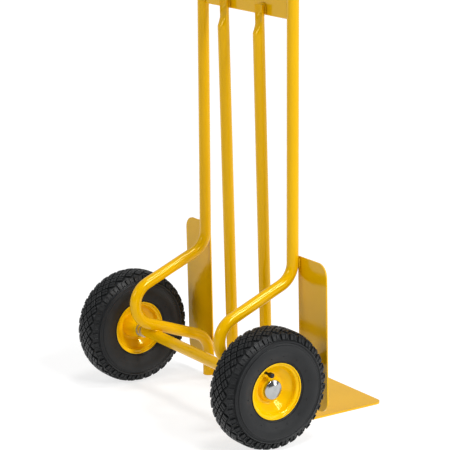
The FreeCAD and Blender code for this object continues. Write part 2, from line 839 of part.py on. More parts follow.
def wheel(side_name, side, spin):
    tyre("tyre_" + side_name, side, spin)
    inner_tube("inner_tube_" + side_name, side, spin)
    rim_band("rim_band_" + side_name, side, spin)
    nose = "Sheet.hub_out - Sheet.rim_gauge - Sheet.boss_back"
    rim_half("rim_outer_" + side_name, side, spin, 1, [
        (nose, "Sheet.boss_nose_radius", "Sheet.boss_nose_round"),
        (nose, "Sheet.sleeve_radius + Sheet.boss_fit", None),
    ])
    rim_half("rim_inner_" + side_name, side, spin, -1, [
        ("Sheet.cone_start", "Sheet.boss_radius - Sheet.cone_drop", "Sheet.cone_round"),
        ("Sheet.hub_in - Sheet.cone_end_gap", "Sheet.sleeve_radius + Sheet.cone_fit", None),
    ])
    hub_sleeve("hub_sleeve_" + side_name, side, spin)
    valve_stem("valve_stem_" + side_name, side, spin)
    valve_cap("valve_cap_" + side_name, side, spin)


# ---------------------------------------------------------------- roller bearings

PITCH_RADIUS = "(Sheet.axle_radius + Sheet.sleeve_bore) / 2"
HUB_MIDDLE = "(Sheet.hub_out - Sheet.hub_in) / 2"


def spun_round(body, name, feature):
    """Repeat a feature for every roller."""
    pattern = body.newObject("PartDesign::PolarPattern", name)
    pattern.Originals = [feature]
    pattern.Axis = (origin_plane(body, "X_Axis"), [""])
    pattern.Angle = 360.0
    pattern.setExpression("Occurrences", "Sheet.roller_count")
    body.Tip = pattern
    return pattern


def roller_cage(name, side):
    """Plastic ring with a pocket for each roller."""
    body = ring(name, "Sheet.cage_bore", "Sheet.cage_radius",
                HUB_MIDDLE + " - Sheet.cage_length / 2", "Sheet.cage_length")
    start = HUB_MIDDLE + " - Sheet.roller_length / 2 - Sheet.roller_end_gap"
    pocket = circles(body, name + "_pocket_section", "YZ_Plane", start,
                     [(PITCH_RADIUS, 0, "Sheet.roller_radius + Sheet.roller_pocket_fit")])
    cut = cut_through(body, name + "_pocket", pocket,
                      "Sheet.roller_length + 2 * Sheet.roller_end_gap", reverse=True)
    spun_round(body, name + "_pockets", cut)
    place_on_axle(body, side)


def rollers(name, side):
    """The steel rollers of one bearing."""
    body = new_body(name)
    body.AllowCompound = True
    section = circles(body, name + "_section", "YZ_Plane", HUB_MIDDLE + " - Sheet.roller_length / 2",
                      [(PITCH_RADIUS, 0, "Sheet.roller_radius")])
    first = pad(body, name + "_first", section, "Sheet.roller_length")
    spun_round(body, name + "_set", first)
    place_on_axle(body, side)


# ---------------------------------------------------------------- axle fittings

def axle_fittings(side_name, side):
    """Washer, spacer and washer between axle tube and hub; end washer and push-on cap outboard."""
    bore = "Sheet.axle_radius + Sheet.axle_fit"
    tube_end = "Sheet.axle_tube_length / 2"
    hub_end = "Sheet.wheel_track / 2 - Sheet.hub_in"
    gauge = "Sheet.washer_gauge"
    pieces = [
        ring("tube_washer_" + side_name, bore, "Sheet.washer_radius", tube_end, gauge),
        ring("spacer_" + side_name, bore, "Sheet.spacer_radius", tube_end + " + " + gauge,
             "%s - (%s) - 2 * %s - Sheet.end_play" % (hub_end, tube_end, gauge)),
        ring("hub_washer_" + side_name, bore, "Sheet.washer_radius",
             "%s - Sheet.end_play - %s" % (hub_end, gauge), gauge),
        ring("end_washer_" + side_name, bore, "Sheet.end_washer_radius",
             "Sheet.wheel_track / 2 + Sheet.hub_out + Sheet.end_play", gauge),
    ]
    for body in pieces:
        place(body, 0, 0, "Sheet.wheel_radius", outboard(side))


def hub_cap(name, side):
    """Push-on domed cap with a gripping collar on the axle end."""
    body = new_body(name)
    skirt = "Sheet.hub_out + Sheet.cap_skirt_out"
    shoulder = "Sheet.hub_out + Sheet.cap_shoulder_out"
    crown = "%s + Sheet.cap_dome" % shoulder
    profile = strip_sketch(body, name + "_profile", "XY_Plane", [
        (skirt, "Sheet.cap_radius", None),
        (shoulder, "Sheet.cap_radius", "Sheet.cap_edge_round"),
        (crown, "Sheet.cap_radius * Sheet.cap_crown_share", "Sheet.cap_crown_round"),
        (crown, 0, None),
    ], "Sheet.cap_gauge", -1)
    revolve(body, name + "_turn", profile)
    collar_start = "Sheet.hub_out + Sheet.cap_collar_out"
    collar_end = collar_start + " + Sheet.cap_collar_length"
    collar_bore = "Sheet.axle_radius + Sheet.cap_collar_fit"
    collar_radius = "Sheet.axle_radius + Sheet.cap_collar_gauge"
    collar = path_sketch(body, name + "_collar", "XY_Plane", [
        (collar_start, collar_bore, None),
        (collar_start, collar_radius, None),
        (collar_end, collar_radius, None),
        (collar_end, collar_bore, None),
    ], closed=True)
    revolve(body, name + "_collar_turn", collar)
    place_on_axle(body, side)


# ---------------------------------------------------------------- assembly

for side_name, side in SIDES.items():
    side_tubes(side_name, side)
    centre_bar("centre_bar_" + side_name, side)
    wheel_guard("wheel_guard_" + side_name, side)
    hand_grip("hand_grip_" + side_name, side)
    axle_fittings(side_name, side)
    hub_cap("hub_cap_" + side_name, side)
    wheel(side_name, side, value("Sheet.valve_angle"))
    roller_cage("roller_cage_" + side_name, side)
    rollers("rollers_" + side_name, side)
cross_panel()
toe_plate()
axle_tube()
axle_rod()
doc.recompute()

# ---------------------------------------------------------------- checks and export

for item in doc.Objects:
    if "Invalid" in item.State or "Error" in item.State:
        raise RuntimeError("%s failed: %s" % (item.Label, item.State))
for body in NODES:
    if body.Shape.isNull() or not body.Shape.isValid() or not body.Shape.Solids:
        raise RuntimeError(body.Label + " has no valid solid")

os.makedirs("parts", exist_ok=True)
for body in NODES:
    body.Shape.exportStep(os.path.join("parts", body.Label + ".step"))
    print("%-20s solids %2d  volume %9.0f mm3" % (body.Label, len(body.Shape.Solids), body.Shape.Volume))
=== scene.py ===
import json
import math
import random

import bmesh
import bpy
from mathutils import Matrix, Vector, noise


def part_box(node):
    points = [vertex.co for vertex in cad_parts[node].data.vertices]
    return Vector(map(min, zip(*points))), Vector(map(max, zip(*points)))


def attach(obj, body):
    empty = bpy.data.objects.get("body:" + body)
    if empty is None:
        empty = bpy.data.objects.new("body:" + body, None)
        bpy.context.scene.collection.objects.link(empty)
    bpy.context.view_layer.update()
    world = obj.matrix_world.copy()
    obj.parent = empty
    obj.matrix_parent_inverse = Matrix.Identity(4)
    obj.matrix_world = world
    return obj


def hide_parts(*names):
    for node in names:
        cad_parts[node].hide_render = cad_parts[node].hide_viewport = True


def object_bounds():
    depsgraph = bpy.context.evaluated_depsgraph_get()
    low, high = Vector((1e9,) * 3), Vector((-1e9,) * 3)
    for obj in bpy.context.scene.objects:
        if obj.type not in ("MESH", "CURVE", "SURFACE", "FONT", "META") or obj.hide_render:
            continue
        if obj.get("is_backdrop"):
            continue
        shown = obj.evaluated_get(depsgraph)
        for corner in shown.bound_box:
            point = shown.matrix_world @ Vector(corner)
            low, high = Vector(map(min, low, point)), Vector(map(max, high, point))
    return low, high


# Looks for the hand truck: powder-coat, rubber and plated finishes, tyres with real tread blocks,
# weld seams, ribbed grips, a pale floor and soft studio light. Metres, in the CAD model's frame.

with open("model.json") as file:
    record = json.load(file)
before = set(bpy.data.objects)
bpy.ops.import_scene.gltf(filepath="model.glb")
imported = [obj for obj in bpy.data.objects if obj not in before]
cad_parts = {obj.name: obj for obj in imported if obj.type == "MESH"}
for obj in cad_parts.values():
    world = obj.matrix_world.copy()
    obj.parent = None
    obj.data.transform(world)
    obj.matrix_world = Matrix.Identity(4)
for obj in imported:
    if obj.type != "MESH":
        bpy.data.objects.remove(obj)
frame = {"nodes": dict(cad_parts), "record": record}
cad_low, cad_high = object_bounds()

SIDES = {"left": -1.0, "right": 1.0}
MM = 0.001
random.seed(4)


# ---------------------------------------------------------------- materials

def tree(name):
    """A new material with its node tree and main shader."""
    made = bpy.data.materials.new(name)
    made.use_nodes = True
    return made, made.node_tree, made.node_tree.nodes["Principled BSDF"]


def set_sockets(shader, **values):
    for socket, value in values.items():
        shader.inputs[socket.replace("_", " ").title().replace("Ior", "IOR")].default_value = value


def from_direction(world_tree, towards, behind, ahead):
    """Sky brightness that rises smoothly from behind to ahead of a direction."""
    where = world_tree.nodes.new("ShaderNodeTexCoord")
    facing = world_tree.nodes.new("ShaderNodeVectorMath")
    facing.operation = "DOT_PRODUCT"
    facing.inputs[1].default_value = Vector(towards).normalized()
    world_tree.links.new(where.outputs["Generated"], facing.inputs[0])
    ranged = world_tree.nodes.new("ShaderNodeMapRange")
    ranged.interpolation_type = "SMOOTHSTEP"
    for socket, value in (("From Min", -0.4), ("From Max", 1.0), ("To Min", behind), ("To Max", ahead)):
        ranged.inputs[socket].default_value = value
    world_tree.links.new(facing.outputs["Value"], ranged.inputs["Value"])
    world_tree.links.new(ranged.outputs["Result"], world_tree.nodes["Background"].inputs["Strength"])


def cloud(nodes_of, scale, detail=2.0, stretch=(1.0, 1.0, 1.0), distortion=0.0):
    """Noise fixed to the piece, from 0 to 1."""
    where = nodes_of.nodes.new("ShaderNodeTexCoord")
    mapping = nodes_of.nodes.new("ShaderNodeMapping")
    mapping.inputs["Scale"].default_value = stretch
    grain = nodes_of.nodes.new("ShaderNodeTexNoise")
    grain.inputs["Scale"].default_value = scale
    grain.inputs["Detail"].default_value = detail
    grain.inputs["Distortion"].default_value = distortion
    nodes_of.links.new(where.outputs["Object"], mapping.inputs["Vector"])
    nodes_of.links.new(mapping.outputs["Vector"], grain.inputs["Vector"])
    return grain.outputs["Fac"]


def spread(nodes_of, source, low, high, start=0.3, end=0.7):
    """The noise between start and end, stretched to run from low to high."""
    ranged = nodes_of.nodes.new("ShaderNodeMapRange")
    for socket, value in (("From Min", start), ("From Max", end), ("To Min", low), ("To Max", high)):
        ranged.inputs[socket].default_value = value
    nodes_of.links.new(source, ranged.inputs["Value"])
    return ranged.outputs["Result"]


def tint(nodes_of, shader, source, first, second, start=0.3, end=0.7):
    """Base colour that drifts between two tones."""
    ramp = nodes_of.nodes.new("ShaderNodeValToRGB")
    for stop, place, colour in ((0, start, first), (1, end, second)):
        ramp.color_ramp.elements[stop].position = place
        ramp.color_ramp.elements[stop].color = (*colour, 1.0)
    nodes_of.links.new(source, ramp.inputs["Fac"])
    nodes_of.links.new(ramp.outputs["Color"], shader.inputs["Base Color"])


def skin(nodes_of, shader, source, strength, depth):
    bump = nodes_of.nodes.new("ShaderNodeBump")
    bump.inputs["Strength"].default_value = strength
    bump.inputs["Distance"].default_value = depth
    nodes_of.links.new(source, bump.inputs["Height"])
    nodes_of.links.new(bump.outputs["Normal"], shader.inputs["Normal"])


def powder_coat(name, light, deep):
    """Glossy powder coat: two close tones, a warm gloss and a faint orange-peel surface."""
    made, nodes_of, shader = tree(name)
    tint(nodes_of, shader, cloud(nodes_of, 9.0, 3.0), light, deep)
    nodes_of.links.new(spread(nodes_of, cloud(nodes_of, 45.0), 0.09, 0.15), shader.inputs["Roughness"])
    skin(nodes_of, shader, cloud(nodes_of, 420.0, 1.0), 0.05, 0.0003)
    set_sockets(shader, specular_tint=(1.0, 0.88, 0.35, 1.0), specular_ior_level=0.4)
    return made


def metal(name, light, dull, smooth, rough, scale, stretch=(1.0, 1.0, 1.0), scratch=0.1):
    made, nodes_of, shader = tree(name)
    tint(nodes_of, shader, cloud(nodes_of, scale, 4.0, stretch), light, dull)
    clouds = cloud(nodes_of, scale * 0.7, 5.0, stretch, 0.8)
    nodes_of.links.new(spread(nodes_of, clouds, smooth, rough), shader.inputs["Roughness"])
    skin(nodes_of, shader, cloud(nodes_of, scale * 6, 3.0, stretch), scratch, 0.0002)
    set_sockets(shader, metallic=1.0)
    return made


def soft(name, light, deep, smooth, rough, grain_scale, grain_depth):
    """Rubber or plastic: two dark tones, a fine moulded grain."""
    made, nodes_of, shader = tree(name)
    tint(nodes_of, shader, cloud(nodes_of, 24.0, 5.0), light, deep)
    nodes_of.links.new(spread(nodes_of, cloud(nodes_of, 60.0, 3.0), smooth, rough),
                       shader.inputs["Roughness"])
    skin(nodes_of, shader, cloud(nodes_of, grain_scale, 3.0), 0.25, grain_depth)
    set_sockets(shader, specular_ior_level=0.28)
    return made


MATERIALS = {
    "yellow_paint": powder_coat("yellow_paint", (0.77, 0.425, 0.0), (0.74, 0.405, 0.0)),
    "rim_paint": powder_coat("rim_paint", (0.90, 0.54, 0.001), (0.88, 0.52, 0.001)),
    "zinc_steel": metal("zinc_steel", (0.60, 0.60, 0.58), (0.48, 0.48, 0.47), 0.28, 0.45, 120.0),
    "bearing_steel": metal("bearing_steel", (0.58, 0.58, 0.58), (0.50, 0.50, 0.51), 0.14, 0.24,
                           300.0, (0.2, 1.0, 1.0), 0.05),
    "chrome": metal("chrome", (0.50, 0.51, 0.51), (0.42, 0.43, 0.43), 0.08, 0.20, 90.0),
    "tyre": soft("tyre", (0.015, 0.016, 0.017), (0.010, 0.011, 0.012), 0.36, 0.50, 900.0, 0.0003),
    "tube_rubber": soft("tube_rubber", (0.022, 0.022, 0.022), (0.014, 0.014, 0.014), 0.5, 0.65,
                        1200.0, 0.0002),
    "grip_rubber": soft("grip_rubber", (0.024, 0.024, 0.026), (0.014, 0.014, 0.016), 0.45, 0.6,
                        1500.0, 0.0002),
    "nylon": soft("nylon", (0.74, 0.72, 0.64), (0.66, 0.63, 0.55), 0.35, 0.5, 700.0, 0.0001),
    "black_plastic": soft("black_plastic", (0.016, 0.016, 0.018), (0.010, 0.010, 0.012), 0.25, 0.4,
                          900.0, 0.0001),
}

for part in frame["record"]["subparts"]:
    mesh = frame["nodes"][part["node"]].data
    mesh.materials.clear()
    mesh.materials.append(MATERIALS[part["material_slot"]])


# ---------------------------------------------------------------- mesh helpers

def piece(name, vertices, faces, slot, body, sharp=40.0, bevel=0.0):
    """A mesh piece that rides on a body, smooth except across edges sharper than the angle."""
    mesh = bpy.data.meshes.new(name)
    mesh.from_pydata(vertices, [], faces)
    shape = bmesh.new()
    shape.from_mesh(mesh)
    bmesh.ops.recalc_face_normals(shape, faces=shape.faces)
    if bevel:
        edges = [edge for edge in shape.edges if edge.calc_face_angle(0.0) > math.radians(sharp)]
        bmesh.ops.bevel(shape, geom=edges, offset=bevel, segments=1, affect="EDGES")
    shape.to_mesh(mesh)
    shape.free()
    mesh.shade_smooth()
    mesh.set_sharp_from_angle(angle=math.radians(sharp))
    mesh.materials.append(MATERIALS[slot])
    made = bpy.data.objects.new(name, mesh)
    bpy.context.scene.collection.objects.link(made)
    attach(made, body)
    return made


def rounded(corners, step=math.radians(7)):
    """Points along an open line through corners (x, y, radius), each corner rounded."""
    points = [Vector(corners[0][:2])]
    for before, here, after in zip(corners, corners[1:], corners[2:]):
        middle, radius = Vector(here[:2]), here[2]
        back = (Vector(before[:2]) - middle).normalized()
        on = (Vector(after[:2]) - middle).normalized()
        turn = math.pi - back.angle(on)
        if radius <= 0 or turn < 1e-4:
            points.append(middle)
            continue
        reach = radius * math.tan(turn / 2)
        centre = middle + (back + on).normalized() * (radius / math.cos(turn / 2))
        start, end = middle + back * reach - centre, middle + on * reach - centre
        swing = start.angle_signed(end)
        count = max(2, math.ceil(turn / step))
        for index in range(count + 1):
            spoke = start.copy()
            spoke.rotate(Matrix.Rotation(-swing * index / count, 2))
            points.append(centre + spoke)
    points.append(Vector(corners[-1][:2]))
    return points


def turned(outline, count, place):
    """Vertices and faces of a closed outline (along, radius) turned round an axis."""
    vertices, faces = [], []
    size = len(outline)
    for step in range(count):
        angle = 2 * math.pi * step / count
        vertices += [place(along, radius, angle) for along, radius in outline]
        after = (step + 1) % count
        for index in range(size):
            on = (index + 1) % size
            faces.append((step * size + index, step * size + on, after * size + on, after * size + index))
    return vertices, faces


# ---------------------------------------------------------------- tyres

WHEEL_RADIUS = 130.0
BLOCKS = 33            # tread blocks round the tyre
ROW_STEP = 10.0        # mm from one row of diamonds to the next
GROOVE = 1.5           # mm, half the width of a groove
DEPTH = 4.6            # mm, groove depth on the crown
HIP = 32.5             # mm from the middle of the tread to the shoulder lugs' full width
LUG_END = 45.5         # mm from the middle of the tread to the foot of a shoulder lug
LUG_HALF = 0.27        # half a lug's width, as a share of the pitch
RECESS_HALF = 0.17     # half the width of a lug's recess, as a share of the pitch
RECESS_CUT = 0.63      # where the recess ends, as a share of half a lug
LUG_BROW = 4.0         # mm from HIP to the lug's full length
LUG_EDGE = 1.8         # mm, the width of the raised edge above the recess
STUD_HALF = 0.09       # half the width of the stud between two lugs, as a share of the pitch
STUD_REACH = 3.0       # mm from LUG_END inwards to the stud's start
STUD_PAST = 0.5        # mm from LUG_END outwards to the stud's end
LUG_LIFT, EDGE_LIFT, STUD_LIFT = -1.5, 0.5, -1.8     # mm, block tops against the tyre's outline
SIPE = ((0.0, 0.44), (0.56, 1.0))                    # the two halves of a diamond, either side of its slit

OUTER = [(0, 130, 0), (16, 130, 40), (31, 126.2, 6), (45.5, 94, 36), (33.2, 61.8, 1), (26.5, 61.8, 3),
         (26.5, 54.7, 3.5), (19.5, 54.7, 0)]
INNER = [(19.5, 54.7, 0), (20.7, 61.4, 3.5), (39.5, 92, 30), (27.5, 119.5, 10), (0, 119.5, 0)]


class TyreSkin:
    """The tyre's outer outline, by distance in mm from the middle of the tread."""

    def __init__(self):
        self.points = rounded(OUTER, math.radians(4))
        self.lengths = [0.0]
        for first, second in zip(self.points, self.points[1:]):
            self.lengths.append(self.lengths[-1] + (second - first).length)

    def at(self, across, lift):
        """(distance from the wheel's middle plane, radius) of a point lifted off the skin."""
        side = -1.0 if across < 0 else 1.0
        run = min(abs(across), self.lengths[-1] - 1e-6)
        index = max(i for i, length in enumerate(self.lengths[:-1]) if length <= run)
        first, second = self.points[index], self.points[index + 1]
        share = (run - self.lengths[index]) / (self.lengths[index + 1] - self.lengths[index])
        along = (second - first).normalized()
        spot = first.lerp(second, share) + Vector((-along.y, along.x)) * lift
        return side * spot.x, spot.y


SKIN = TyreSkin()
# (distance from the middle of the tread, lift): groove floor, rings where tread meets sidewall, rim groove
FLOOR = [(0, -DEPTH), (38, -DEPTH), (45.5, -3.6), (48.0, -2.4), (48.8, -0.2), (49.6, 1.1), (50.8, 1.5),
         (52.0, 1.1), (52.8, -0.4), (53.3, -1.3), (57.2, -1.3), (57.8, 0.0), (58.5, 0.6), (59.3, 0.6),
         (60.2, 0.0), (94.5, 0.0), (95.6, -1.5), (98.4, -1.7), (99.0, 0.0), (120.0, 0.0)]


def floor_lift(across):
    run = abs(across)
    for (start, low), (end, high) in zip(FLOOR, FLOOR[1:]):
        if run <= end:
            return low + (high - low) * (run - start) / (end - start)
    return 0.0


def wheel_place(side):
    low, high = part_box("rim_band_" + ("left" if side < 0 else "right"))
    centre = (low + high) / 2

    def place(along, radius, angle):
        return (centre.x + side * along * MM, centre.y + radius * math.cos(angle) * MM,
                centre.z + radius * math.sin(angle) * MM)

    return place


def tyre_body(name, side):
    """Closed carcass: groove floor, rings and sidewalls outside, the tube's space inside."""
    stops = sorted({run for run, _ in FLOOR if run < SKIN.lengths[-1]} | set(SKIN.lengths)
                   | {float(run) for run in range(2, 46, 3)})
    outside = [SKIN.at(run, floor_lift(run)) for run in stops]
    inside = [tuple(point) for point in rounded(INNER)[1:]]
    half = outside + inside
    twins = [(-along, radius) for along, radius in reversed(half[1:-1])]
    vertices, faces = turned(half + twins, 168, wheel_place(side))
    made = piece("tyre_body_" + name, vertices, faces, "tyre", name + "_wheel", 32.0)
    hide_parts("tyre_" + name)


def patch(corners, across_cuts, along_cuts):
    """Quads over a four-cornered patch, cut at the given shares of its sides."""
    first, second, third, fourth = (Vector(corner) for corner in corners)

    def spot(share, other):
        return tuple(first.lerp(second, share).lerp(fourth.lerp(third, share), other))

    return [[spot(a, b), spot(c, b), spot(c, d), spot(a, d)]
            for a, c in zip(across_cuts, across_cuts[1:]) for b, d in zip(along_cuts, along_cuts[1:])]


def tread_blocks():
    """Every raised block as (its top's lift, quads in (distance across the tread, angle))."""
    pitch = 2 * math.pi / BLOCKS
    half_turn = pitch / 2 * WHEEL_RADIUS
    inner_radius = half_turn * ROW_STEP / math.hypot(half_turn, ROW_STEP)
    shrink = 1 - GROOVE / inner_radius
    blocks = []
    for index in range(BLOCKS):
        for row in range(-2, 3):
            middle = (index + (0.5 if row % 2 else 0.0)) * pitch
            across = row * ROW_STEP
            reach, swing = ROW_STEP * shrink, pitch / 2 * shrink
            corners = [(across - reach, middle), (across, middle + swing),
                       (across + reach, middle), (across, middle - swing)]
            for start, end in SIPE:
                cuts = (start, (start + end) / 2, end)
                whole = (0.0, 0.33, 0.67, 1.0)
                quads = patch(corners, cuts, whole) if row % 2 else patch(corners, whole, cuts)
                blocks.append((0.0, quads))
        for side in (-1, 1):
            middle = (index + 0.5) * pitch
            wide, inside = pitch * LUG_HALF, pitch * RECESS_HALF
            peak, brow, edge = 3 * ROW_STEP - ROW_STEP * shrink, HIP + LUG_BROW, HIP + LUG_EDGE
            lug, frame_edge = [], []
            for sign in (-1, 1):
                lug += patch([(side * peak, middle), (side * HIP, middle + sign * wide),
                              (side * brow, middle + sign * wide), (side * brow, middle)],
                             (0.0, 0.5, 1.0), (0.0, 0.5, 1.0))
                lug += patch([(side * brow, middle), (side * brow, middle + sign * wide),
                              (side * LUG_END, middle + sign * wide), (side * LUG_END, middle)],
                             (0.0, 0.5, 1.0), (0.0, 0.5, 1.0))
                frame_edge += patch([(side * HIP, middle), (side * HIP, middle + sign * wide),
                                     (side * edge, middle + sign * wide), (side * edge, middle)],
                                    (0.0, RECESS_CUT, 1.0), (0.0, 1.0))
                frame_edge += patch([(side * edge, middle + sign * inside),
                                     (side * edge, middle + sign * wide),
                                     (side * LUG_END, middle + sign * wide),
                                     (side * LUG_END, middle + sign * inside)], (0.0, 1.0), (0.0, 0.5, 1.0))
            stud, start, end = pitch * STUD_HALF, LUG_END - STUD_REACH, LUG_END + STUD_PAST
            between = patch([(side * start, index * pitch - stud), (side * start, index * pitch + stud),
                             (side * end, index * pitch + stud), (side * end, index * pitch - stud)],
                            (0.0, 1.0), (0.0, 0.5, 1.0))
            blocks += [(LUG_LIFT, lug), (EDGE_LIFT, frame_edge), (STUD_LIFT, between)]
    return blocks


def tread(name, side, blocks):
    """Closed tread blocks whose feet stand in the groove floor."""
    place = wheel_place(side)
    vertices, faces = [], []
    for rise, quads in blocks:
        known, walls = {}, {}

        def corner(spot, top):
            key = (round(spot[0], 5), round(spot[1], 7), top)
            if key not in known:
                lift = rise if top else floor_lift(spot[0]) - 0.5
                known[key] = len(vertices)
                vertices.append(place(*SKIN.at(spot[0], lift), spot[1]))
            return known[key]

        for quad in quads:
            tops = [corner(spot, True) for spot in quad]
            feet = [corner(spot, False) for spot in quad]
            faces.append(tops)
            faces.append(feet[::-1])
            for index in range(4):
                on = (index + 1) % 4
                edge = frozenset((tops[index], tops[on]))
                if edge in walls:
                    walls[edge] = None
                elif len(edge) == 2:
                    walls[edge] = (tops[index], feet[index], feet[on], tops[on])
        faces += [wall for wall in walls.values() if wall]
    faces = [face for face in (tuple(dict.fromkeys(face)) for face in faces) if len(face) > 2]
    piece("tread_" + name, vertices, faces, "tyre", name + "_wheel", 35.0, 0.45 * MM)


def vent_nubs(name, side):
    """Small moulding nubs on both sidewalls."""
    place = wheel_place(side)
    vertices, faces = [], []
    for across, count, size in ((61.5, 16, 1.1), (83.0, 14, 1.3)):
        for index in range(count):
            for facing in (-1, 1):
                angle = 2 * math.pi * (index + 0.3 * random.random()) / count
                base = len(vertices)
                rings = ((size, -0.5), (size, 0.1), (size * 0.55, 0.3 if across < 70 else 1.2))
                for width, lift in rings:
                    for step in range(6):
                        turn = math.pi * step / 3
                        spot = across + width * math.cos(turn)
                        along, radius = SKIN.at(spot * facing, lift)
                        vertices.append(place(along, radius, angle + width * math.sin(turn) / radius))
                for ring in range(2):
                    for step in range(6):
                        on = (step + 1) % 6
                        low, high = base + ring * 6, base + ring * 6 + 6
                        faces.append((low + step, low + on, high + on, high + step))
                faces.append(tuple(base + step for step in range(5, -1, -1)))
                faces.append(tuple(base + 12 + step for step in range(6)))
    piece("tyre_nubs_" + name, vertices, faces, "tyre", name + "_wheel", 50.0)


BLOCK_QUADS = tread_blocks()
for name, side in SIDES.items():
    tyre_body(name, side)
    tread(name, side, BLOCK_QUADS)
    vent_nubs(name, side)


# ---------------------------------------------------------------- weld seams

def bead_line(points, radius, closed, seed):
    """Vertices and faces of one rippled bead along a line of points."""
    line = [Vector(point) for point in points]
    spots = []
    pairs = list(zip(line, line[1:] + line[:1])) if closed else list(zip(line, line[1:]))
    for first, second in pairs:
        count = max(1, round((second - first).length / (0.9 * MM)))
        spots += [first.lerp(second, step / count) for step in range(count)]
    if not closed:
        spots.append(line[-1])
    size, total = 8, len(spots)
    vertices, faces = [], []
    across = None
    for index, spot in enumerate(spots):
        before = spots[index - 1] if closed or index else spots[0]
        after = spots[(index + 1) % total] if closed or index < total - 1 else spots[-1]
        along = (after - before).normalized()
        across = along.orthogonal() if across is None else across - along * across.dot(along)
        across.normalize()
        up = along.cross(across)
        ripple = 1 + 0.14 * math.sin(index * 2.1) + 0.25 * noise.noise(Vector((index * 0.21, seed, 0.0)))
        if not closed:
            ripple *= min(1.0, 0.45 + 0.3 * min(index, total - 1 - index))
        for step in range(size):
            turn = 2 * math.pi * step / size
            lump = 1 + 0.12 * noise.noise(Vector((index * 0.5, step * 0.9, seed + 7.0)))
            vertices.append(spot + (across * math.cos(turn) + up * math.sin(turn)) * radius * ripple * lump)
    for index in range(total if closed else total - 1):
        after = (index + 1) % total
        for step in range(size):
            on = (step + 1) % size
            faces.append((index * size + step, index * size + on, after * size + on, after * size + step))
    if not closed:
        faces.append(tuple(range(size - 1, -1, -1)))
        faces.append(tuple(range((total - 1) * size, total * size)))
    return vertices, faces


def weld(name, beads):
    """One piece of several beads: (points, radius in mm, closed)."""
    vertices, faces = [], []
    for number, (points, radius, closed) in enumerate(beads):
        added, joined = bead_line(points, radius * MM, closed, number * 3.7 + len(name))
        faces += [tuple(index + len(vertices) for index in face) for face in joined]
        vertices += added
    piece(name, vertices, faces, "yellow_paint", "frame", 60.0)


TUBE = 13.0 * MM
axle_low, axle_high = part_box("axle_tube")
AXLE = (axle_low + axle_high) / 2
tube_low, tube_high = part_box("frame_tube_right")
TUBE_X = (tube_low.x + tube_high.x) / 2
bar_low, bar_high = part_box("centre_bar_right")
BAR_X = (bar_low.x + bar_high.x) / 2
toe_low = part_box("toe_plate")[0]
panel_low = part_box("cross_panel")[0]
guard_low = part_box("wheel_guard_right")[0]
UPRIGHT_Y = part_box("handle_tube_right")[1].y - TUBE
STUB_Y = AXLE.y + 142.0 * MM
RUN = Vector((0, -283.2, 103.8)).normalized()      # the lower run's direction, rearwards and up
RUN_NORMAL = Vector((0, RUN.z, -RUN.y))
RUN_CLEAR = 23.12 * MM                             # its distance from the axle's own line
LEAN = math.tan(math.radians(1.04))                # the guards lean back
GUARD_REAR = AXLE.y + 155.6 * MM                   # a guard's rear face, at its foot
PANEL_SHEET = 2.5 * MM                             # the cross panel's thickness
TOE_WELD = (13.5 * MM, 35 * MM)                    # heights between which each bead runs
PANEL_WELDS = ((0.882, 0.912), (0.925, 0.949), (0.962, 0.992))
UPPER_GUARD_WELD, LOWER_GUARD_WELD = (0.345, 0.366), (0.044, 0.078)


def corner_offset(radius, gap):
    """How far to the side of a tube's line a bead lies, in the corner with a plate gap away."""
    return math.sqrt((TUBE + radius) ** 2 - (gap - radius) ** 2)


for name, side in SIDES.items():
    loop = []
    for step in range(28):
        turn = 2 * math.pi * step / 28
        swing = math.radians(33) * math.cos(turn)
        over = RUN_CLEAR - TUBE * math.cos(swing)
        slide = math.sqrt(max(0.0, TUBE ** 2 - over ** 2)) * (1 if math.sin(turn) >= 0 else -1)
        slide *= min(1.0, abs(math.sin(turn)) * 1.6 + 0.15)
        loop.append(AXLE + Vector((side * TUBE_X + TUBE * 1.15 * math.sin(swing), 0, 0))
                    + RUN_NORMAL * over + RUN * slide * 1.2)
    weld("weld_axle_" + name, [(loop, 2.6, True)])

    beads = []
    for centre in (side * BAR_X, side * TUBE_X):
        for facing in (-1, 1):
            reach = corner_offset(1.9 * MM, toe_low.y - STUB_Y)
            beads.append(([(centre + facing * reach, toe_low.y - 1.7 * MM, height) for height in TOE_WELD],
                          1.9, False))
    weld("weld_toe_" + name, beads)

    beads = []
    for heights, line in ((UPPER_GUARD_WELD, UPRIGHT_Y), (LOWER_GUARD_WELD, STUB_Y)):
        ends = []
        for height in heights:
            rear = GUARD_REAR - (height - guard_low.z) * LEAN
            reach = corner_offset(1.8 * MM, rear - line)
            ends.append((side * (TUBE_X + reach), rear - 1.8 * MM, height))
        beads.append((ends, 1.8, False))
    weld("weld_guard_" + name, beads)

    beads = []
    rear, front = panel_low.y, panel_low.y + PANEL_SHEET
    for low, high in PANEL_WELDS:
        for plane, way in ((rear, -1), (front, 1)):
            line = plane + way * 1.6 * MM
            reach = math.sqrt((TUBE + 1.6 * MM) ** 2 - (line - UPRIGHT_Y) ** 2)
            beads.append(([(side * (TUBE_X - reach), line, low), (side * (TUBE_X - reach), line, high)],
                          1.7, False))
    half = math.sqrt(TUBE ** 2 - (TUBE - 4 * MM) ** 2)
    tongue = []
    for share, height in ((-1, 880), (-1, 896), (-0.88, 899.5), (-0.5, 901.5), (0, 902.3), (0.5, 901.5),
                          (0.88, 899.5), (1, 896), (1, 880)):
        tongue.append((side * BAR_X + share * half, rear - 1.9 * MM, height * MM))
    beads.append((tongue, 2.1, False))
    weld("weld_panel_" + name, beads)


# ---------------------------------------------------------------- small rubber and plastic detail

GRIP_RIBS, CAP_RIBS = 14, 14
RIB_STEP = 7.2 * MM      # from one rib of the hand grip to the next
MIDDLE_RIB = 6.1         # the grip's middle, counted in ribs from the front


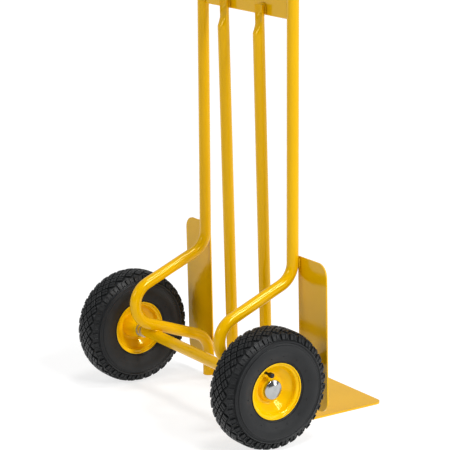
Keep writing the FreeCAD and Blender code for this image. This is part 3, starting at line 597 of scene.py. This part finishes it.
def grip_ribs(name):
    """Raised rings round the hand grip."""
    low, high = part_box("hand_grip_" + name)
    middle = (low + high) / 2
    rise = math.radians(20)
    along = Vector((0, -math.cos(rise), math.sin(rise)))
    up = Vector((0, math.sin(rise), math.cos(rise)))
    across = Vector((1, 0, 0))
    vertices, faces = [], []
    for index in range(GRIP_RIBS):
        centre = middle + along * (index - MIDDLE_RIB) * RIB_STEP
        ring = [(-2.4, 16.4), (-1.6, 17.6), (-0.6, 18.0), (0.6, 18.0), (1.6, 17.6), (2.4, 16.4)]
        added, joined = turned(ring, 40, lambda run, radius, angle: tuple(
            centre + along * run * MM + (across * math.cos(angle) + up * math.sin(angle)) * radius * MM))
        faces += [tuple(spot + len(vertices) for spot in face) for face in joined]
        vertices += added
    piece("grip_ribs_" + name, vertices, faces, "grip_rubber", "frame", 50.0)


def cap_ribs(name, side):
    """Finger ribs round the valve cap."""
    low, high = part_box("valve_cap_" + name)
    centre = (low + high) / 2
    radius = (high.y - low.y) / 2
    start, end = low.x + 1.3 * MM, high.x - 1.6 * MM
    vertices, faces = [], []
    for index in range(CAP_RIBS):
        angle = 2 * math.pi * index / CAP_RIBS
        base = len(vertices)
        for across in (start, end):
            for swing, reach in ((-0.11, -0.5), (-0.08, 0.3), (0.08, 0.3), (0.11, -0.5)):
                length = radius + reach * MM
                vertices.append((across, centre.y + length * math.cos(angle + swing),
                                 centre.z + length * math.sin(angle + swing)))
        for step in range(4):
            on = (step + 1) % 4
            faces.append((base + step, base + on, base + 4 + on, base + 4 + step))
        faces += [(base, base + 1, base + 2, base + 3), (base + 7, base + 6, base + 5, base + 4)]
    piece("valve_ribs_" + name, vertices, faces, "black_plastic", name + "_wheel", 30.0)


for name, side in SIDES.items():
    grip_ribs(name)
    cap_ribs(name, side)


# ---------------------------------------------------------------- floor, light and camera

HALF_FLOOR = 60.0
floor_mesh = bpy.data.meshes.new("floor")
floor_mesh.from_pydata([(-HALF_FLOOR, -HALF_FLOOR, 0), (HALF_FLOOR, -HALF_FLOOR, 0),
                        (HALF_FLOOR, HALF_FLOOR, 0), (-HALF_FLOOR, HALF_FLOOR, 0)], [], [(0, 1, 2, 3)])
floor = bpy.data.objects.new("floor", floor_mesh)
bpy.context.scene.collection.objects.link(floor)
floor_paint, floor_tree, floor_shader = tree("floor")
tint(floor_tree, floor_shader, cloud(floor_tree, 0.6), (0.36, 0.36, 0.36), (0.33, 0.33, 0.33))
set_sockets(floor_shader, roughness=0.9, specular_ior_level=0.0, emission_color=(1.0, 1.0, 1.0, 1.0),
            emission_strength=0.73)
floor_mesh.materials.append(floor_paint)
floor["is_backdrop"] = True

world = bpy.data.worlds.new("studio")
world.use_nodes = True
world.node_tree.nodes["Background"].inputs["Color"].default_value = (1.0, 1.0, 1.0, 1.0)
from_direction(world.node_tree, (-0.80, 0.54, 0.25), 0.11, 0.52)
bpy.context.scene.world = world


def sun(name, towards, strength, spread_angle):
    """A far, soft light; towards points from the truck to the light."""
    lamp = bpy.data.lights.new(name, "SUN")
    lamp.energy = strength
    lamp.angle = math.radians(spread_angle)
    made = bpy.data.objects.new(name, lamp)
    made.rotation_euler = Vector(towards).to_track_quat("Z", "Y").to_euler()
    bpy.context.scene.collection.objects.link(made)


def softbox(name, towards, distance, middle, wide, tall, watts):
    """A standing panel of light that faces the truck; it shows in the gloss, not in the picture."""
    lamp = bpy.data.lights.new(name, "AREA")
    lamp.shape = "RECTANGLE"
    lamp.size, lamp.size_y, lamp.energy = wide, tall, watts
    made = bpy.data.objects.new(name, lamp)
    direction = Vector(towards).normalized()
    made.location = direction * distance + Vector((0, 0, middle))
    made.rotation_euler = direction.to_track_quat("Z", "Y").to_euler()
    made.visible_camera = False
    bpy.context.scene.collection.objects.link(made)


sun("key", (0.80, 0.04, 0.55), 1.2, 12)
sun("streak", (0.69, 0.135, 0.707), 0.6, 5)
sun("fill", (-0.06, -0.87, 0.45), 0.65, 20)
sun("top", (0.26, 0.06, 0.96), 1.15, 14)
softbox("panel", (0.807, 0.538, 0.0), 2.4, 0.95, 0.5, 1.5, 12.0)

AZIMUTH, ELEVATION, ROLL = 0.98254, 0.24694, -0.0066664        # radians
CAMERA_SPOT = (3.48353, -2.35482, 1.46663)
forward = Vector((-math.sin(AZIMUTH) * math.cos(ELEVATION), math.cos(AZIMUTH) * math.cos(ELEVATION),
                  -math.sin(ELEVATION)))
right = Vector((math.cos(AZIMUTH), math.sin(AZIMUTH), 0))
above = right.cross(forward)
camera_right = right * math.cos(ROLL) + above * math.sin(ROLL)
camera_up = above * math.cos(ROLL) - right * math.sin(ROLL)
axes = Matrix((camera_right, camera_up, -forward)).transposed().to_4x4()
camera_data = bpy.data.cameras.new("camera")
camera_data.sensor_width = 36.0
camera_data.lens = 154.97
camera_data.clip_end = 300.0
camera = bpy.data.objects.new("camera", camera_data)
camera.matrix_world = Matrix.Translation(CAMERA_SPOT) @ axes
bpy.context.scene.collection.objects.link(camera)
bpy.context.scene.camera = camera

bpy.context.scene.view_settings.view_transform = "Standard"

low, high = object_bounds()
{"cad_box": [list(cad_low), list(cad_high)], "visual_box": [list(low), list(high)]}
